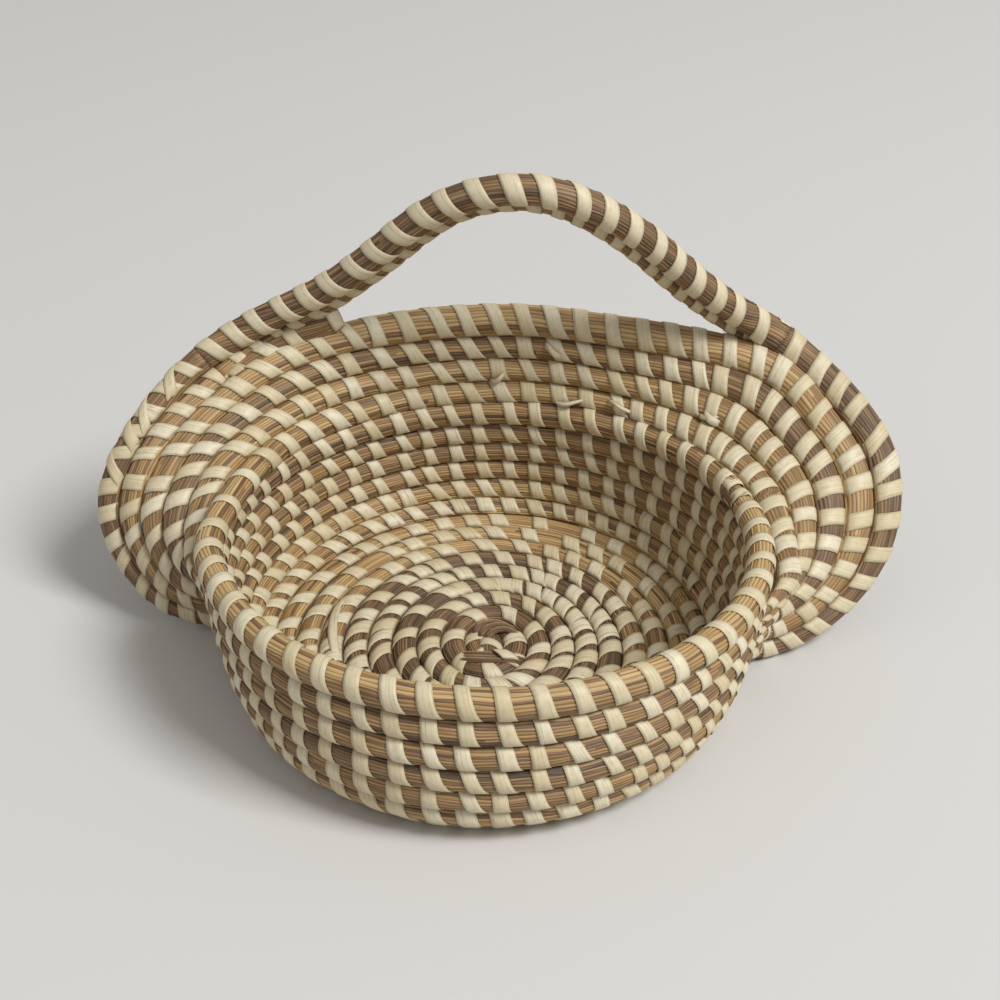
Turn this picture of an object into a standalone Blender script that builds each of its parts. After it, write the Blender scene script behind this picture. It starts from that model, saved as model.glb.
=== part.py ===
"""Coiled basket with two ears and an arched handle.

A bundle of grass is wound on itself, row on row, round a small knot: a flat base, a round wall,
then higher back rows that run out into an ear at each side, and an edge coil that leaves the ears
to make the handle. Each row, and each winding of pale strip round an edge coil, is an object.
Units are metres, +Z is up, the viewer looks along +Y, and the origin is under the centre knot.
"""

import math

import bmesh
import bpy
import numpy as np

# Coil and rows
COIL_DIAMETER = 0.00795
ROW_GAP = 0.00095
WRAP_GAP = 0.0004
END_GAP = 0.0006
FLAT_CUT_SHARE = 0.1
POINTS_PER_LOOP = 20
POINTS_PER_STATION = 2
FINE_STEPS = 12
WELD_DISTANCE = 0.000005

# Centre knot and base
KNOT_LENGTH = 0.0162
KNOT_GAP = 0.0006
KNOT_END_SHARE = 0.62
DARK_LOOPS = 5
TAN_LOOPS = 3
BASE_OVAL_START = 0.004
BASE_OVAL = 0.008
START_ANGLE = math.radians(20)

# Wall: the lean of each row from upright, and what is left of the base's oval as the rows climb
WALL_LEANS = [math.radians(degrees) for degrees in (55.4, 24.6, 15.0, 11.0, 7.8, 4.1)]
WALL_OVAL_SHARES = (1.0, 1.0, 0.9, 0.75, 0.5, 0.25, -0.05)
WALL_SHIFT_X = -0.001
WALL_SHIFT_Y = -0.0015

# Front rim: how many of a loop's points it has before it climbs on to the back wall, and how many
# points before its start steer the curve there
RIM_POINTS = 11
RIM_LEAD_POINTS = 2

# Back rows, from the right ear's lower end over the back wall to the left ear's lower end. At each
# station: where row 0 lies, as shares of the rim's radius and height, the direction from row to
# row as a bearing and a climb in degrees, and the spacing as a share of the row pitch.
STATION_SHARES = (
    (1.098, -0.062, 0.781, 156, -74, 1.02),
    (1.101, 0.000, 0.810, 32, -76, 1.02),
    (1.095, 0.082, 0.848, 15, -45, 1.11),
    (1.077, 0.206, 0.914, 12, -18, 1.28),
    (1.041, 0.351, 0.981, 15, 5, 1.38),
    (0.959, 0.505, 1.038, 22, 21, 1.39),
    (0.809, 0.686, 1.085, 29, 39, 1.39),
    (0.505, 0.907, 1.109, 53, 74, 1.05),
    (0.103, 1.005, 1.128, 90, 80, 1.05),
    (-0.351, 0.943, 1.118, 113, 78, 1.05),
    (-0.701, 0.722, 1.110, 128, 64, 1.08),
    (-0.902, 0.428, 1.090, 125, 36, 1.10),
    (-0.970, 0.281, 1.057, 142, 15, 1.09),
    (-0.991, 0.142, 1.000, 151, -8, 1.22),
    (-1.019, 0.067, 0.974, 149, -32, 1.18),
    (-1.066, 0.027, 0.955, 133, -60, 1.05),
    (-1.107, -0.012, 0.924, 59, -67, 1.04),
)
RIGHT_SHOULDER = 6
LEFT_SHOULDER = 11
EAR_SWELL_SHARE = 0.8
TOP_ROW_DIAMETER = 0.0108
TOP_ROW_WEIGHT_SHARES = (0, 0, 0, 0, 0, 0, 0.3, 1, 1, 1, 0.3, 0, 0, 0, 0, 0, 0)

# Handle: the edge coil leaves the right ear as row 4 and reaches the left ear as row 5. It and the
# rim are thicker than the other rows by this much
EDGE_EXTRA = 0.00015
HANDLE_RISE = 0.0729
HANDLE_LEAN = 0.0199
HANDLE_SPAN_SHARES = (0.108, 0.216, 0.315, 0.414, 0.540, 0.658, 0.766, 0.874)
HANDLE_RISE_SHARES = (0.185, 0.375, 0.623, 0.878, 1.0, 0.893, 0.639, 0.306)
HANDLE_BACK_SHARES = (0.117, 0.111, 0.095, 0.067, 0.0, -0.006, 0.004, 0.021)
# The inner coil lies under the edge coil, this far off its strips, turned about it towards the
# back by these angles
INNER_GAP = 0.0007
INNER_TURNS = [math.radians(d) for d in (-25, 15, 28, 28, 28, 28, 28, 28, 28, 28)]
INNER_END_SHARE = 0.5

# Pale strips wound round the coils that have an open side
STRIP_WIDTH = 0.005
STRIP_THICKNESS = 0.0004
STRIP_CLEARANCE = 0.0004
STRIP_PITCH = 0.0124
STRIP_SIDES = 6
LEFT_STRIP_SHARES = (0.36, 0.82)
HANDLE_STRIP_SHARES = (0.1, 0.97)
RIGHT_STRIP_SHARES = (0.03, 0.66)
RIM_STRIP_SHARES = (0.03, 0.9)

# Finishes: colour and roughness
DARK_RUSH = ((0.17, 0.085, 0.045), 0.62)
AMBER_GRASS = ((0.42, 0.25, 0.10), 0.55)
PALE_STRIP = ((0.72, 0.62, 0.42), 0.5)

# What follows from these sizes
COIL_RADIUS = COIL_DIAMETER / 2
EDGE_DIAMETER = COIL_DIAMETER + EDGE_EXTRA
ROW_PITCH = COIL_DIAMETER + ROW_GAP
BASE_HEIGHT = COIL_RADIUS - FLAT_CUT_SHARE * COIL_DIAMETER
FIRST_RADIUS = COIL_RADIUS + KNOT_GAP + COIL_RADIUS
STRIP_INNER = (EDGE_DIAMETER / 2 + STRIP_CLEARANCE) / math.cos(math.pi / STRIP_SIDES)
WRAPPED_RADIUS = STRIP_INNER + STRIP_THICKNESS / math.cos(math.pi / STRIP_SIDES)
WRAPPED_PITCH = COIL_RADIUS + WRAPPED_RADIUS + WRAP_GAP
INNER_PITCH = COIL_RADIUS + WRAPPED_RADIUS + INNER_GAP


def clear_scene():
    for obj in list(bpy.data.objects):
        bpy.data.objects.remove(obj, do_unlink=True)


def make_collection(name, hidden=False):
    collection = bpy.data.collections.new(name)
    bpy.context.scene.collection.children.link(collection)
    collection.hide_render = hidden
    return collection


def make_material(name, finish):
    color, roughness = finish
    material = bpy.data.materials.new(name)
    material.use_nodes = True
    shader = material.node_tree.nodes["Principled BSDF"]
    shader.inputs["Base Color"].default_value = (*color, 1)
    shader.inputs["Roughness"].default_value = roughness
    return material


def smooth(values, places):
    """A natural cubic spline through values, which stand at 0, 1, 2 and so on, read at places."""
    values = np.asarray(values, float)
    count = len(values)
    matrix = np.eye(count)
    right = np.zeros_like(values)
    for i in range(1, count - 1):
        matrix[i, i - 1 : i + 2] = (1, 4, 1)
        right[i] = 6 * (values[i - 1] - 2 * values[i] + values[i + 1])
    bend = np.linalg.solve(matrix, right)
    places = np.asarray(places, float)
    left = np.clip(places.astype(int), 0, count - 2)
    after = (places - left).reshape(-1, *[1] * (values.ndim - 1))
    before = 1 - after
    curve = (before**3 - before) * bend[left] + (after**3 - after) * bend[left + 1]
    return before * values[left] + after * values[left + 1] + curve / 6


def lengths_along(points):
    steps = np.linalg.norm(np.diff(points, axis=0), axis=1)
    return np.concatenate([[0], np.cumsum(steps)])


def points_at(points, places):
    """The points at these lengths along a fine line of points."""
    run = lengths_along(points)
    return np.stack([np.interp(places, run, points[:, i]) for i in range(3)], axis=1)


def trimmed(fine):
    """Lengths along a fine line for a coil's points, with a short true piece at each end."""
    run = lengths_along(fine)
    first, last = END_GAP / 2, run[-1] - END_GAP / 2
    square = COIL_RADIUS / 2
    inner = run[::FINE_STEPS]
    inner = inner[(inner > first + 2 * square) & (inner < last - 2 * square)]
    return np.concatenate([[first, first + square], inner, [last - square, last]])


def oval_point(radius, oval, height, turn):
    """A point of the bowl: turn counts loops, clockwise from above, from the start angle."""
    angle = START_ANGLE - 2 * math.pi * turn
    x = radius * np.cos(angle)
    y = (radius + oval) * np.sin(angle)
    return np.stack([x, y, np.broadcast_to(height, np.shape(x))], axis=-1)


def base_line(first_loop, last_loop):
    loops = DARK_LOOPS + TAN_LOOPS
    steps = (last_loop - first_loop) * POINTS_PER_LOOP * FINE_STEPS
    fine = np.linspace(first_loop, last_loop, steps + 1)
    radius = FIRST_RADIUS + fine * ROW_PITCH
    oval = BASE_OVAL_START + (BASE_OVAL - BASE_OVAL_START) * fine / loops
    height = BASE_HEIGHT + 0 * fine
    return oval_point(radius, oval, height, fine) + shift_back(fine / loops)


def shift_back(shares):
    """How far loops stand off the knot's centre, from nothing at share 0 to all of it at the wall."""
    return shares[:, None] * np.array([WALL_SHIFT_X, WALL_SHIFT_Y, 0])


def wall_profile():
    """Radius, oval and height where each wall row begins, and where the rim begins."""
    radius = FIRST_RADIUS + (DARK_LOOPS + TAN_LOOPS) * ROW_PITCH
    height = BASE_HEIGHT
    profile = [(radius, BASE_OVAL * WALL_OVAL_SHARES[0], height)]
    for i, lean in enumerate(WALL_LEANS):
        pitch = WRAPPED_PITCH if i == len(WALL_LEANS) - 1 else ROW_PITCH
        radius += pitch * math.sin(lean)
        height += pitch * math.cos(lean)
        profile.append((radius, BASE_OVAL * WALL_OVAL_SHARES[i + 1], height))
    return profile


def wall_line(row):
    fine = np.linspace(0, 1, POINTS_PER_LOOP * FINE_STEPS + 1)
    start, end = np.array(wall_profile()[row : row + 2])
    radius, oval, height = start[:, None] + (end - start)[:, None] * fine
    return oval_point(radius, oval, height, fine) + shift_back(np.ones_like(fine))


def stations():
    """Row 0 and the step to the next row, at each station of the back rows."""
    radius, _, height = wall_profile()[-1]
    starts, steps = [], []
    for x_share, y_share, z_share, bearing, climb, spread in STATION_SHARES:
        starts.append((x_share * radius, y_share * radius, z_share * height))
        flat = math.cos(math.radians(climb))
        side = (
            flat * math.cos(math.radians(bearing)),
            flat * math.sin(math.radians(bearing)),
            math.sin(math.radians(climb)),
        )
        steps.append([part * spread * ROW_PITCH for part in side])
    return np.array(starts), np.array(steps)


def row_points(row):
    """The centre of a back row at each station. Rows past the thick top row stand off from it."""
    starts, steps = stations()
    lengths = np.linalg.norm(steps, axis=1)
    extra = (TOP_ROW_DIAMETER - COIL_DIAMETER) / 2 * np.array(TOP_ROW_WEIGHT_SHARES)
    return starts + steps * (row + (row > 2) * extra / lengths)[:, None]


def row_radii(row):
    """The coil's radius at each station: it swells where the rows of an ear spread."""
    spread = np.array([station[-1] for station in STATION_SHARES])
    radii = COIL_RADIUS * (1 + EAR_SWELL_SHARE * (spread - 1))
    if row == 3:
        extra = (TOP_ROW_DIAMETER - COIL_DIAMETER) / 2
        radii = radii + extra * np.array(TOP_ROW_WEIGHT_SHARES)
    return radii


def fine_places(first, last, per_knot=POINTS_PER_STATION):
    """Places from knot first to knot last, FINE_STEPS for each of the coil's points."""
    points = round((last - first) * per_knot)
    return np.linspace(first, last, points * FINE_STEPS + 1)


def rim_knots(lead):
    """The rim over the front, as high above the last wall row as that row is above the next."""
    radius, oval, height = wall_profile()[-1]
    rise = height - wall_profile()[-2][-1]
    turns = np.arange(-lead, RIM_POINTS + 1) / POINTS_PER_LOOP
    front = oval_point(radius, oval, height + rise * turns, turns)
    return front + shift_back(np.ones_like(turns))


def rim_line():
    """The rim, up to the shoulder where the lowest back row takes over."""
    climb = row_points(0)[LEFT_SHOULDER : RIGHT_SHOULDER : -1]
    knots = np.concatenate([rim_knots(RIM_LEAD_POINTS), climb])
    end = RIM_LEAD_POINTS + RIM_POINTS + 1
    return smooth(knots, fine_places(RIM_LEAD_POINTS, end, per_knot=1))


def lowest_row_knots():
    """The lowest back row up to the left shoulder, and then the rim that it runs on from."""
    return np.concatenate([row_points(0)[: LEFT_SHOULDER + 1], rim_knots(0)[::-1]])


def handle_points():
    """The edge coil between its two shoulders."""
    right = row_points(4)[RIGHT_SHOULDER]
    left = row_points(5)[LEFT_SHOULDER]
    span = np.array(HANDLE_SPAN_SHARES)[:, None]
    rise = np.array(HANDLE_RISE_SHARES)[:, None]
    back = np.array(HANDLE_BACK_SHARES)[:, None]
    up = np.array([0, -HANDLE_LEAN, HANDLE_RISE])
    return left + span * (right - left) + rise * up + back * np.array([0, HANDLE_RISE, 0])


def edge_knots():
    """The edge coil from the left ear's lower end over the handle to the right ear's lower end."""
    left = row_points(5)[:LEFT_SHOULDER - 1:-1]
    right = row_points(4)[RIGHT_SHOULDER::-1]
    return np.concatenate([left, handle_points(), right])


def inner_coil_knots():
    """The inner handle coil: row 4 of the left ear, then under the edge coil to its far shoulder."""
    edge = edge_knots()
    left = row_points(4)[:LEFT_SHOULDER:-1]
    first, last = len(left), len(left) + len(INNER_TURNS) - 1
    apex = edge[first + 1 + HANDLE_RISE_SHARES.index(1.0)]
    upright = np.cross(edge[last] - edge[first], apex - edge[first])
    knots = list(left)
    for i, turn in zip(range(first, last + 1), INNER_TURNS):
        along = edge[i + 1] - edge[i - 1]
        inward = np.cross(along, upright)
        inward /= np.linalg.norm(inward)
        back = np.cross(along, inward)
        back /= np.linalg.norm(back)
        side = math.cos(turn) * inward + math.sin(turn) * back
        knots.append(edge[i] + side * INNER_PITCH)
    return np.array(knots)


def tube(name, points, radii, material, collection):
    """A round coil through points: a poly curve whose bevel is scaled by each point's radius."""
    data = bpy.data.curves.new(name, "CURVE")
    data.dimensions = "3D"
    data.bevel_depth = COIL_RADIUS
    data.bevel_resolution = 1
    data.use_fill_caps = True
    spline = data.splines.new("POLY")
    spline.points.add(len(points) - 1)
    for point, place, radius in zip(spline.points, points, radii):
        point.co = (*place, 1)
        point.radius = radius / COIL_RADIUS
    data.materials.append(material)
    obj = bpy.data.objects.new(name, data)
    collection.objects.link(obj)
    print(f"{name}: least gap to itself {1000 * gap_to_itself(points, radii):.2f} mm")
    return obj


def gap_to_itself(points, radii):
    """The least clear distance between stretches of one coil that are over half a loop apart."""
    points, radii = np.asarray(points), np.asarray(radii)
    fine = lengths_along(points)
    places = np.linspace(0, fine[-1], FINE_STEPS * len(points))
    centres = points_at(points, places)
    reach = np.interp(places, fine, radii)
    least = math.inf
    for i, centre in enumerate(centres):
        far = places > places[i] + 2 * math.pi * COIL_DIAMETER
        if far.any():
            clear = np.linalg.norm(centres[far] - centre, axis=1) - reach[far] - reach[i]
            least = min(least, clear.min())
    return least


def coil(name, fine, radii, material, collection):
    """A coil along a fine line, whose radius is one size or a size for each point of the line."""
    places = trimmed(fine)
    reach = np.interp(places, lengths_along(fine), np.broadcast_to(radii, len(fine)))
    return tube(name, points_at(fine, places), reach, material, collection)


def to_mesh(obj):
    """The curve object made a mesh object with welded caps, so that it can be cut."""
    graph = bpy.context.evaluated_depsgraph_get()
    mesh = bpy.data.meshes.new_from_object(obj.evaluated_get(graph))
    shape = bmesh.new()
    shape.from_mesh(mesh)
    bmesh.ops.remove_doubles(shape, verts=shape.verts, dist=WELD_DISTANCE)
    shape.to_mesh(mesh)
    shape.free()
    made = bpy.data.objects.new(obj.name, mesh)
    made.matrix_world = obj.matrix_world
    for collection in obj.users_collection:
        collection.objects.link(made)
    name = obj.name
    bpy.data.objects.remove(obj, do_unlink=True)
    made.name = name
    return made


def cut_flat(obj, cutter):
    """Cuts the coil's underside to the plane that the basket stands on."""
    made = to_mesh(obj)
    cut = made.modifiers.new("flat foot", "BOOLEAN")
    cut.operation = "DIFFERENCE"
    cut.object = cutter
    return made


def foot_cutter(collection):
    """A cube under the floor, twice as wide as the foot row."""
    width = 2 * (wall_profile()[1][0] + COIL_RADIUS)
    side = 2 * width
    bpy.ops.mesh.primitive_cube_add(size=side, location=(0, 0, -side / 2))
    cutter = bpy.context.object
    cutter.name = "foot_cutter"
    cutter.hide_render = True
    cutter.display_type = "WIRE"
    for owner in list(cutter.users_collection):
        owner.objects.unlink(cutter)
    collection.objects.link(cutter)
    return cutter


def wound_strip(name, fine, first_share, last_share, material, collection, guides):
    """A strip wound round a coil: a turned band with thickness, bent along the coil's centre."""
    places = trimmed(fine)
    ends = np.array([first_share, last_share]) * lengths_along(fine)[-1]
    inner = places[(places > ends[0] + COIL_RADIUS) & (places < ends[1] - COIL_RADIUS)]
    path = points_at(fine, np.concatenate([ends[:1], inner, ends[1:]]))
    guide_data = bpy.data.curves.new(name + "_guide", "CURVE")
    guide_data.dimensions = "3D"
    spline = guide_data.splines.new("POLY")
    spline.points.add(len(path) - 1)
    for point, place in zip(spline.points, path):
        point.co = (*place, 1)
    guide = bpy.data.objects.new(name + "_guide", guide_data)
    guide.hide_render = True
    guides.objects.link(guide)

    length = lengths_along(path)[-1]
    turns = int((length - STRIP_WIDTH) / STRIP_PITCH)
    start = (length - turns * STRIP_PITCH) / 2
    shape = bmesh.new()
    low = shape.verts.new((STRIP_INNER, 0, start - STRIP_WIDTH / 2))
    high = shape.verts.new((STRIP_INNER, 0, start + STRIP_WIDTH / 2))
    shape.edges.new((high, low))
    mesh = bpy.data.meshes.new(name)
    shape.to_mesh(mesh)
    shape.free()
    mesh.materials.append(material)
    strip = bpy.data.objects.new(name, mesh)
    collection.objects.link(strip)

    screw = strip.modifiers.new("winding", "SCREW")
    screw.axis = "Z"
    screw.angle = 2 * math.pi
    screw.steps = STRIP_SIDES
    screw.render_steps = STRIP_SIDES
    screw.iterations = turns
    screw.screw_offset = STRIP_PITCH
    screw.use_normal_calculate = True
    solid = strip.modifiers.new("thickness", "SOLIDIFY")
    solid.thickness = STRIP_THICKNESS
    solid.offset = 1
    bend = strip.modifiers.new("follow the coil", "CURVE")
    bend.object = guide
    bend.deform_axis = "POS_Z"
    return strip


def build():
    clear_scene()
    parts = make_collection("coiled_basket")
    helpers = make_collection("helpers", hidden=True)
    dark = make_material("dark_rush", DARK_RUSH)
    amber = make_material("amber_grass", AMBER_GRASS)
    pale = make_material("pale_strip", PALE_STRIP)
    cutter = foot_cutter(helpers)

    half = (KNOT_LENGTH - COIL_DIAMETER) / 2
    reach = KNOT_LENGTH / 2
    knot_points = [(0, y, BASE_HEIGHT) for y in (-reach, -half, half, reach)]
    end = COIL_RADIUS * KNOT_END_SHARE
    knot = tube("centre_knot", knot_points, (end, COIL_RADIUS, COIL_RADIUS, end), dark, parts)
    cut_flat(knot, cutter)

    loops = DARK_LOOPS + TAN_LOOPS
    for name, first, last, material in (
        ("base_coil_dark", 0, DARK_LOOPS, dark),
        ("base_coil_tan", DARK_LOOPS, loops, amber),
    ):
        cut_flat(coil(name, base_line(first, last), COIL_RADIUS, material, parts), cutter)

    names = ["foot_row"] + [f"wall_row_{i}" for i in range(1, len(WALL_LEANS))]
    for i, name in enumerate(names):
        made = coil(name, wall_line(i), COIL_RADIUS, amber if i < 2 else dark, parts)
        if i == 0:
            cut_flat(made, cutter)
    rim = rim_line()
    coil("front_rim", rim, EDGE_DIAMETER / 2, amber, parts)

    last = len(STATION_SHARES) - 1
    lowest_line = smooth(lowest_row_knots(), fine_places(0, LEFT_SHOULDER))
    lowest_radii = smooth(row_radii(0), fine_places(0, LEFT_SHOULDER))
    coil("back_row_1", lowest_line, lowest_radii, amber, parts)
    for row, name, material in (
        (1, "back_row_2", amber),
        (2, "back_row_3", dark),
        (3, "top_back_row", amber),
    ):
        places = fine_places(0, last)
        line = smooth(row_points(row), places)
        coil(name, line, smooth(row_radii(row), places), material, parts)

    edge = edge_knots()
    edge_end = len(edge) - 1
    left_end = last - LEFT_SHOULDER
    right_end = edge_end - RIGHT_SHOULDER
    for name, first, end in (
        ("left_edge_coil", 0, left_end),
        ("handle_coil", left_end, right_end),
        ("right_edge_coil", right_end, edge_end),
    ):
        line = smooth(edge, fine_places(first, end))
        coil(name, line, EDGE_DIAMETER / 2, dark, parts)
    inner = inner_coil_knots()
    left_line = smooth(inner, fine_places(0, left_end))
    coil("left_ear_row_4", left_line, smooth(row_radii(4)[::-1], fine_places(0, left_end)), amber, parts)
    inner_end = len(inner) - 2 + INNER_END_SHARE
    inner_line = smooth(inner, fine_places(left_end, inner_end))
    coil("inner_handle_coil", inner_line, COIL_RADIUS, dark, parts)

    for name, first, end, ends in (
        ("left_edge_strip", 0, left_end, LEFT_STRIP_SHARES),
        ("handle_strip", left_end, right_end, HANDLE_STRIP_SHARES),
        ("right_edge_strip", right_end, edge_end, RIGHT_STRIP_SHARES),
    ):
        line = smooth(edge, fine_places(first, end))
        wound_strip(name, line, *ends, pale, parts, helpers)
    wound_strip("rim_strip", rim, *RIM_STRIP_SHARES, pale, parts, helpers)


build()
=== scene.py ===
"""Coiled grass basket with two ears and an arched handle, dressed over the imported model.

Lengths are metres, +Z is up, the viewer looks along +Y, and the origin is under the centre knot.
"""

import math
import random

import bmesh
import bpy
import numpy as np
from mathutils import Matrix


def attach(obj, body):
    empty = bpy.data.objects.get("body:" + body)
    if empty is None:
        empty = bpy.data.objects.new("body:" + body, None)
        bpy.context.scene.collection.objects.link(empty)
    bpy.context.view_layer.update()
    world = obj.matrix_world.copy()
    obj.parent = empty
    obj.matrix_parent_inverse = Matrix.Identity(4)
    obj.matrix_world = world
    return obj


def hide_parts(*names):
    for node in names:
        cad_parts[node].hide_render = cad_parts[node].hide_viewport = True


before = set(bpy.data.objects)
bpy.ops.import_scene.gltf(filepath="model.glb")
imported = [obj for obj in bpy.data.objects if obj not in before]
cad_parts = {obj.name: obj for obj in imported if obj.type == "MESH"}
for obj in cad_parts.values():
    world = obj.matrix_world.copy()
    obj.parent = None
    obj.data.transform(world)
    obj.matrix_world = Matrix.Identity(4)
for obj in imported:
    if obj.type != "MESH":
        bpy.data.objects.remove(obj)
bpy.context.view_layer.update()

# The base
# One bundle of thin grass stems, wound flat from a knot: five brown loops, then three of amber
# grass. Each loop is pressed against the loop inside it and sewn to it with pale palm strips.

COIL_DIAMETER = 0.00795
ROW_PITCH = 0.0089
FIRST_RADIUS = COIL_DIAMETER + 0.0006
BASE_HEIGHT = 0.4 * COIL_DIAMETER
START_ANGLE = math.radians(20)
BASE_LOOPS = 8
DARK_LOOPS = 5

# How far the wall leans out at each row, and the oval and shift that the bowl has there
WALL_LEANS = [math.radians(degrees) for degrees in (55.4, 24.6, 15.0, 11.0, 7.8, 4.1)]
RIM_STEP = 0.009973
LOOP_PLACES = [-1, 0, 8, 9, 10, 11, 12, 13, 14]
LOOP_RADII = [FIRST_RADIUS - ROW_PITCH, FIRST_RADIUS, FIRST_RADIUS + BASE_LOOPS * ROW_PITCH]
LOOP_HEIGHTS = [BASE_HEIGHT] * 3
for lean in WALL_LEANS:
    step = RIM_STEP if lean == WALL_LEANS[-1] else ROW_PITCH
    LOOP_RADII.append(LOOP_RADII[-1] + step * math.sin(lean))
    LOOP_HEIGHTS.append(LOOP_HEIGHTS[-1] + step * math.cos(lean))
LOOP_OVALS = [0.0035, 0.004, 0.008, 0.008, 0.0072, 0.006, 0.004, 0.002, -0.0004]
BOWL_SHIFT = np.array([-0.001, -0.0015, 0])


def oval_point(radius, oval, height, turns):
    """Points of the bowl's loops, which run clockwise from above."""
    angle = START_ANGLE - 2 * math.pi * turns
    x = radius * np.cos(angle)
    y = (radius + oval) * np.sin(angle)
    return np.stack([x, y, height + 0 * x], axis=-1)


def spiral(turns):
    """The middle of the coil, from the knot out over the base and up to the end of the wall."""
    turns = np.asarray(turns, float)
    radius = np.interp(turns, LOOP_PLACES, LOOP_RADII)
    oval = np.interp(turns, LOOP_PLACES, LOOP_OVALS)
    height = np.interp(turns, LOOP_PLACES, LOOP_HEIGHTS)
    shift = np.clip(turns / BASE_LOOPS, 0, 1)[..., None] * BOWL_SHIFT
    return oval_point(radius, oval, height, turns) + shift


def unit(vectors):
    return vectors / np.linalg.norm(vectors, axis=-1, keepdims=True)


class Row:
    """A length of coil: its middle line, the side that lies away from the row before, its section."""

    def __init__(self, line, away, across, through, start=0.0):
        steps = np.linalg.norm(np.diff(line, axis=0), axis=1)
        self.run = np.concatenate([[0], np.cumsum(steps)])
        self.length = self.run[-1]
        self.start = start
        self.line = line
        self.ahead = unit(np.gradient(line, axis=0))
        away = away - (away * self.ahead).sum(1, keepdims=True) * self.ahead
        self.away = unit(away)
        self.across = np.broadcast_to(across, len(line))
        self.through = np.broadcast_to(through, len(line))

    def at(self, places):
        """Middle, directions and half sizes of the section at lengths along the row."""
        places = np.clip(places, 0, self.length)
        read = lambda values: np.stack(
            [np.interp(places, self.run, values[:, i]) for i in range(3)], axis=-1
        )
        middle, ahead, away = read(self.line), unit(read(self.ahead)), unit(read(self.away))
        side = np.cross(ahead, away)
        across = np.interp(places, self.run, self.across)
        through = np.interp(places, self.run, self.through)
        return middle, away, side, across, through

    def surface(self, places, angles, lift):
        """Points on the coil: angle 0 lies away from the row before, and lift is off its stems."""
        middle, away, side, across, through = self.at(places)
        cos, sin = np.cos(angles), np.sin(angles)
        reach = 1 / np.sqrt((cos / across) ** 2 + (sin / through) ** 2) + lift
        return middle + (reach * cos)[..., None] * away + (reach * sin)[..., None] * side


STEMS = 23
STEM_SIDES = 4
RING_STEP = 0.0022
STEM_HEIGHT = 0.00042
GROWTH = np.random.default_rng(5)
WANDER_RATES = GROWTH.uniform(40, 260, (6, 1, 1))
WANDER_PHASES = GROWTH.uniform(0, 6.28, (6, 1, 1))
STEM_PHASES = GROWTH.uniform(0, 6.28, STEMS + 1)
STEM_RATES = GROWTH.uniform(60, 200, STEMS + 1)
STEM_PHASES[-1] = STEM_PHASES[0]
STEM_RATES[-1] = STEM_RATES[0]
STEM_EDGES = np.concatenate([[0], np.cumsum(GROWTH.uniform(0.65, 1.35, STEMS))])
STEM_EDGES *= 2 * math.pi / STEM_EDGES[-1]


def add_object(name, mesh, *slots):
    piece = bpy.data.objects.new(name, mesh)
    bpy.context.scene.collection.objects.link(piece)
    for material in slots:
        mesh.materials.append(material)
    for polygon in mesh.polygons:
        polygon.use_smooth = True
    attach(piece, "root")
    return piece


def bundle(name, row, tone, material, floor=None, pinches=(), pinch=0.00014, seam_side_shade=0.0):
    """A coil of stems: a flat grid rolled round the row's middle, its long edges merged, ends closed.

    tone gives the share of brown at shares of the row's length. The last argument adds painted shade,
    as more brown, on the side towards the row before, where shadow falls at the seam."""
    rings = max(4, round(row.length / RING_STEP))
    around = STEMS * STEM_SIDES
    shape = bmesh.new()
    shape.loops.layers.uv.new("UVMap")
    bmesh.ops.create_grid(shape, x_segments=rings, y_segments=around, size=0.5, calc_uvs=True)
    mesh = bpy.data.meshes.new(name)
    shape.to_mesh(mesh)
    shape.free()
    flat = np.zeros(len(mesh.vertices) * 3)
    mesh.vertices.foreach_get("co", flat)
    flat = flat.reshape(-1, 3)
    share = flat[:, 0] + 0.5
    stem = (flat[:, 1] + 0.5) * STEMS
    places = share * row.length
    global_places = places + row.start
    index = np.clip(stem.astype(int), 0, STEMS)
    part = stem - index
    crest = np.sin(math.pi * np.clip(part, 0, 1)) ** 0.7
    swell = 0.75 + 0.25 * np.sin(STEM_RATES[index] * global_places + STEM_PHASES[index])
    angle = np.interp(stem, np.arange(STEMS + 1), STEM_EDGES)
    wander = np.sin(
        WANDER_RATES[:, 0] * global_places + WANDER_PHASES[:, 0] + np.array([1, 2, 1, 2, 3, 1])[:, None] * angle
    )
    following = (index + 1) % STEMS
    sway = (1 - part) * np.sin(2.1 * STEM_RATES[index] * global_places + 3 * STEM_PHASES[index])
    sway += part * np.sin(2.1 * STEM_RATES[following] * global_places + 3 * STEM_PHASES[following])
    angle = angle + 0.026 * wander.sum(0) + 0.02 * sway
    lift = STEM_HEIGHT * (crest * swell - 1)
    if len(pinches):
        gap = np.abs(places[:, None] - np.asarray(pinches)[None, :]).min(1)
        lift = lift - pinch * np.exp(-((gap / 0.0028) ** 2))
    points = row.surface(places, angle, lift)
    if floor is not None:
        points[:, 2] = np.maximum(points[:, 2], floor)
    mesh.vertices.foreach_set("co", points.reshape(-1))
    uv = np.zeros(len(mesh.loops) * 2)
    mesh.uv_layers[0].data.foreach_get("uv", uv)
    uv = uv.reshape(-1, 2)
    uv[:, 0] = (uv[:, 0] * row.length + row.start) * 100
    uv[:, 1] *= STEMS
    mesh.uv_layers[0].data.foreach_set("uv", uv.reshape(-1))
    # Painted shade, as more brown, on the side of the coil towards the row before
    shades = np.interp(share, np.linspace(0, 1, len(tone)), tone) + seam_side_shade * (1 - np.cos(angle)) / 2
    mesh.attributes.new("tone", "FLOAT", "POINT").data.foreach_set("value", shades)

    shape = bmesh.new()
    shape.from_mesh(mesh)
    bmesh.ops.remove_doubles(shape, verts=shape.verts, dist=0.00001)
    bmesh.ops.holes_fill(shape, edges=shape.edges, sides=0)
    bmesh.ops.recalc_face_normals(shape, faces=shape.faces)
    shape.to_mesh(mesh)
    shape.free()
    return add_object(name, mesh, material)


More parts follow.
